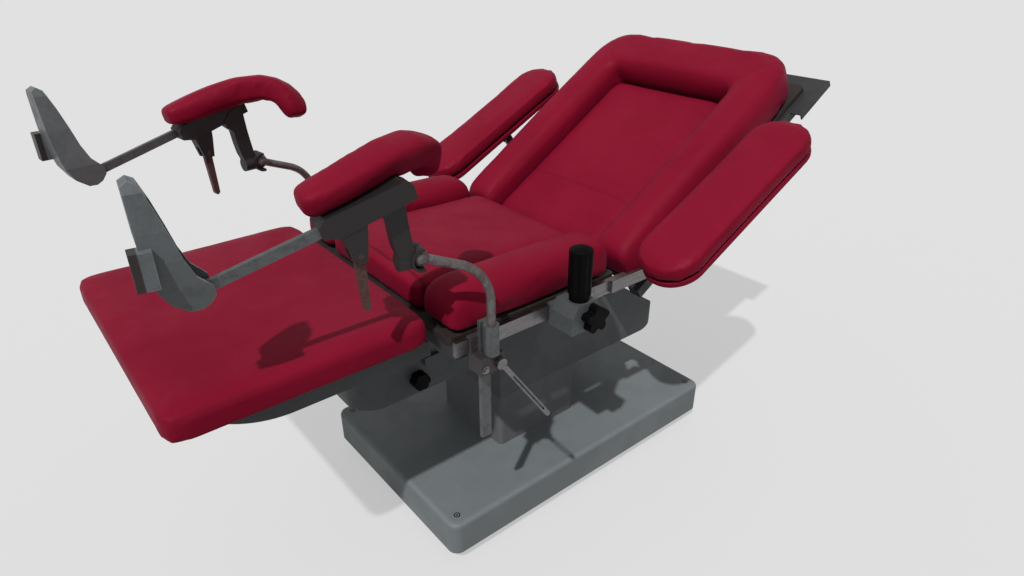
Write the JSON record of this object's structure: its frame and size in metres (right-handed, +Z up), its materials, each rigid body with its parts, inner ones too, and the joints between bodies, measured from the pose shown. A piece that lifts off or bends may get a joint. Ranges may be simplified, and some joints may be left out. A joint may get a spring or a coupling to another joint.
{
  "type": "gynaecological examination table",
  "caption": "Padded examination table on a lifting column: sloped back with U-shaped bolster, armrests, sliding leg section, knee supports with foot plates, hand grips.",
  "frame": {"origin": "middle of the bounding box on the floor", "axes": "+Z up; +Y from the leg section toward the head of the back; +X toward the side with the lock knob of the leg section"},
  "size_m": [0.956, 1.6094, 1.0081],
  "materials": {
    "crimson": "fine-grained leatherette, soft sheen",
    "cover_grey": "satin paint",
    "column_grey": "satin paint",
    "frame_dark": "dark satin paint",
    "cast_dark": "dark painted casting",
    "steel": "brushed, lightly stained",
    "chrome": "polished",
    "worn_steel": "stained brown",
    "board": "plywood",
    "black_plastic": "matte",
    "grey_plastic": "matte moulded",
    "tyre": "matte rubber"
  },
  "bodies": {
    "base": {"base_cover": "cover_grey", "base_frame": "frame_dark", "column_cover": "column_grey", "base_post": "steel", "lift_cylinder": "chrome"},
    "lift": {"casing": "cover_grey", "mast": "steel", "carrier": "frame_dark", "seat_frame": "frame_dark", "seat_board": "board", "seat_pad": "crimson", "seat_bolster_left": "crimson", "seat_bolster_right": "crimson", "side_rail_left": "steel", "side_rail_right": "steel"},
    "back": {"back_frame": "frame_dark", "back_board": "board", "back_pad": "crimson", "back_bolster": "crimson"},
    "strut_cylinder": {"strut_cylinder": "frame_dark"},
    "strut_rod": {"strut_rod": "chrome"},
    "leg": {"leg_tray": "cover_grey", "leg_pad": "crimson"},
    "leg_lock_knob": {"leg_lock_knob": "black_plastic"},
    "castor_fork_foot_left": {"castor_fork_foot_left": "steel"},
    "castor_wheel_foot_left": {"castor_wheel_foot_left": "tyre"},
    "castor_fork_foot_right": {"castor_fork_foot_right": "steel"},
    "castor_wheel_foot_right": {"castor_wheel_foot_right": "tyre"},
    "castor_fork_head_left": {"castor_fork_head_left": "steel"},
    "castor_wheel_head_left": {"castor_wheel_head_left": "tyre"},
    "castor_fork_head_right": {"castor_fork_head_right": "steel"},
    "castor_wheel_head_right": {"castor_wheel_head_right": "tyre"},
    "armrest_left": {"armrest_bracket_left": "cast_dark", "armrest_pad_left": "crimson"},
    "armrest_right": {"armrest_bracket_right": "cast_dark", "armrest_pad_right": "crimson"},
    "rail_clamp_left": {"rail_clamp_left": "cast_dark"},
    "clamp_lever_left": {"clamp_lever_left": "steel"},
    "height_bar_left": {"height_bar_left": "steel"},
    "support_rod_left": {"support_rod_left": "chrome"},
    "pad_lever_left": {"pad_lever_left": "worn_steel"},
    "foot_bar_left": {"foot_bar_left": "steel"},
    "foot_plate_left": {"foot_plate_left": "grey_plastic"},
    "grip_knob_left": {"grip_knob_left": "black_plastic"},
    "crutch_left": {"crutch_bracket_left": "cast_dark", "crutch_pad_left": "crimson"},
    "grip_left": {"grip_clamp_left": "cast_dark", "hand_grip_left": "black_plastic"},
    "rail_clamp_right": {"rail_clamp_right": "cast_dark"},
    "clamp_lever_right": {"clamp_lever_right": "steel"},
    "height_bar_right": {"height_bar_right": "steel"},
    "support_rod_right": {"support_rod_right": "chrome"},
    "pad_lever_right": {"pad_lever_right": "worn_steel"},
    "foot_bar_right": {"foot_bar_right": "steel"},
    "foot_plate_right": {"foot_plate_right": "grey_plastic"},
    "grip_knob_right": {"grip_knob_right": "black_plastic"},
    "crutch_right": {"crutch_bracket_right": "cast_dark", "crutch_pad_right": "crimson"},
    "grip_right": {"grip_clamp_right": "cast_dark", "hand_grip_right": "black_plastic"}
  },
  "joints": [
    {"name": "castor_swivel_foot_left", "type": "hinge", "parent": "base", "child": "castor_fork_foot_left", "pos_m": [-0.205, -0.24772, 0.06], "axis": [0, 0, 1], "continuous": true},
    {"name": "castor_spin_foot_left", "type": "hinge", "parent": "castor_fork_foot_left", "child": "castor_wheel_foot_left", "pos_m": [-0.22226, -0.2644, 0.03], "axis": [0.6947, -0.7193, 0], "continuous": true},
    {"name": "castor_swivel_foot_right", "type": "hinge", "parent": "base", "child": "castor_fork_foot_right", "pos_m": [0.205, -0.24772, 0.06], "axis": [0, 0, 1], "continuous": true},
    {"name": "castor_spin_foot_right", "type": "hinge", "parent": "castor_fork_foot_right", "child": "castor_wheel_foot_right", "pos_m": [0.22226, -0.2644, 0.03], "axis": [0.6947, 0.7193, 0], "continuous": true},
    {"name": "castor_swivel_head_left", "type": "hinge", "parent": "base", "child": "castor_fork_head_left", "pos_m": [-0.205, 0.46228, 0.06], "axis": [0, 0, 1], "continuous": true},
    {"name": "castor_spin_head_left", "type": "hinge", "parent": "castor_fork_head_left", "child": "castor_wheel_head_left", "pos_m": [-0.22226, 0.4456, 0.03], "axis": [0.6947, -0.7193, 0], "continuous": true},
    {"name": "castor_swivel_head_right", "type": "hinge", "parent": "base", "child": "castor_fork_head_right", "pos_m": [0.205, 0.46228, 0.06], "axis": [0, 0, 1], "continuous": true},
    {"name": "castor_spin_head_right", "type": "hinge", "parent": "castor_fork_head_right", "child": "castor_wheel_head_right", "pos_m": [0.22226, 0.4456, 0.03], "axis": [0.6947, 0.7193, 0], "continuous": true},
    {"name": "lift_slide", "type": "slide", "parent": "base", "child": "lift", "axis": [0, 0, 1], "range_m": [-0.14, 0.06]},
    {"name": "back_tilt", "type": "hinge", "parent": "lift", "child": "back", "pos_m": [0, 0.26728, 0.59], "axis": [1, 0, 0], "range_deg": [-32, 28]},
    {"name": "strut_pivot", "type": "hinge", "parent": "lift", "child": "strut_cylinder", "pos_m": [0, 0.29728, 0.538], "axis": [1, 0, 0], "range_deg": [-32, 28]},
    {"name": "strut_slide", "type": "slide", "parent": "strut_cylinder", "child": "strut_rod", "axis": [0, 0.8217, 0.5699], "range_m": [-0.034, 0.03]},
    {"name": "armrest_tilt_left", "type": "hinge", "parent": "back", "child": "armrest_left", "pos_m": [-0.361, 0.33682, 0.71836], "axis": [1, 0, 0], "range_deg": [-15, 15]},
    {"name": "armrest_tilt_right", "type": "hinge", "parent": "back", "child": "armrest_right", "pos_m": [0.361, 0.33682, 0.71836], "axis": [1, 0, 0], "range_deg": [-15, 15]},
    {"name": "leg_slide", "type": "slide", "parent": "lift", "child": "leg", "axis": [0, -1, 0], "range_m": [0, 0.25]},
    {"name": "leg_knob_turn", "type": "hinge", "parent": "lift", "child": "leg_lock_knob", "pos_m": [0.142, -0.29672, 0.424], "axis": [1, 0, 0], "range_deg": [-180, 180]},
    {"name": "clamp_slide_left", "type": "slide", "parent": "lift", "child": "rail_clamp_left", "axis": [0, 1, 0], "range_m": [-0.02, 0.05]},
    {"name": "clamp_lever_turn_left", "type": "hinge", "parent": "rail_clamp_left", "child": "clamp_lever_left", "pos_m": [-0.35, -0.25072, 0.557], "axis": [1, 0, 0], "range_deg": [-90, 0]},
    {"name": "height_slide_left", "type": "slide", "parent": "rail_clamp_left", "child": "height_bar_left", "axis": [0, 0, 1], "range_m": [0, 0.15]},
    {"name": "rod_swivel_left", "type": "hinge", "parent": "height_bar_left", "child": "support_rod_left", "pos_m": [-0.345, -0.26472, 0.61], "axis": [0, 0, 1], "range_deg": [-60, 30]},
    {"name": "crutch_pitch_left", "type": "hinge", "parent": "support_rod_left", "child": "crutch_left", "pos_m": [-0.323, -0.38872, 0.799], "axis": [0.9918, 0.1279, 0], "range_deg": [-20, 10]},
    {"name": "pad_lever_swing_left", "type": "hinge", "parent": "crutch_left", "child": "pad_lever_left", "pos_m": [-0.32953, -0.49443, 0.839], "axis": [0.9918, 0.1279, 0], "range_deg": [-90, 0]},
    {"name": "foot_bar_slide_left", "type": "slide", "parent": "crutch_left", "child": "foot_bar_left", "axis": [-0.1237, 0.9593, 0.2538], "range_m": [-0.08, 0.04]},
    {"name": "foot_plate_tilt_left", "type": "hinge", "parent": "foot_bar_left", "child": "foot_plate_left", "pos_m": [-0.30845, -0.70479, 0.84408], "axis": [0.9918, 0.1279, 0], "range_deg": [-15, 15]},
    {"name": "grip_slide_left", "type": "slide", "parent": "lift", "child": "grip_left", "axis": [0, 1, 0], "range_m": [-0.05, 0.05]},
    {"name": "grip_knob_turn_left", "type": "hinge", "parent": "grip_left", "child": "grip_knob_left", "pos_m": [-0.386, -0.04472, 0.59], "axis": [1, 0, 0], "range_deg": [-180, 180]},
    {"name": "clamp_slide_right", "type": "slide", "parent": "lift", "child": "rail_clamp_right", "axis": [0, 1, 0], "range_m": [-0.02, 0.05]},
    {"name": "clamp_lever_turn_right", "type": "hinge", "parent": "rail_clamp_right", "child": "clamp_lever_right", "pos_m": [0.35, -0.25072, 0.557], "axis": [1, 0, 0], "range_deg": [-90, 0]},
    {"name": "height_slide_right", "type": "slide", "parent": "rail_clamp_right", "child": "height_bar_right", "axis": [0, 0, 1], "range_m": [0, 0.15]},
    {"name": "rod_swivel_right", "type": "hinge", "parent": "height_bar_right", "child": "support_rod_right", "pos_m": [0.345, -0.26472, 0.61], "axis": [0, 0, 1], "range_deg": [-30, 60]},
    {"name": "crutch_pitch_right", "type": "hinge", "parent": "support_rod_right", "child": "crutch_right", "pos_m": [0.323, -0.38872, 0.799], "axis": [0.9918, -0.1279, 0], "range_deg": [-20, 10]},
    {"name": "pad_lever_swing_right", "type": "hinge", "parent": "crutch_right", "child": "pad_lever_right", "pos_m": [0.32953, -0.49443, 0.839], "axis": [0.9918, -0.1279, 0], "range_deg": [-90, 0]},
    {"name": "foot_bar_slide_right", "type": "slide", "parent": "crutch_right", "child": "foot_bar_right", "axis": [0.1237, 0.9593, 0.2538], "range_m": [-0.08, 0.04]},
    {"name": "foot_plate_tilt_right", "type": "hinge", "parent": "foot_bar_right", "child": "foot_plate_right", "pos_m": [0.30845, -0.70479, 0.84408], "axis": [0.9918, -0.1279, 0], "range_deg": [-15, 15]},
    {"name": "grip_slide_right", "type": "slide", "parent": "lift", "child": "grip_right", "axis": [0, 1, 0], "range_m": [-0.05, 0.05]},
    {"name": "grip_knob_turn_right", "type": "hinge", "parent": "grip_right", "child": "grip_knob_right", "pos_m": [0.386, -0.04472, 0.59], "axis": [1, 0, 0], "range_deg": [-180, 180]}
  ],
  "couplings": [
    {"joint": "strut_pivot", "follows": "back_tilt", "ratio": 0.9888},
    {"joint": "strut_slide", "follows": "back_tilt", "m_per_rad": 0.0575}
  ]
}
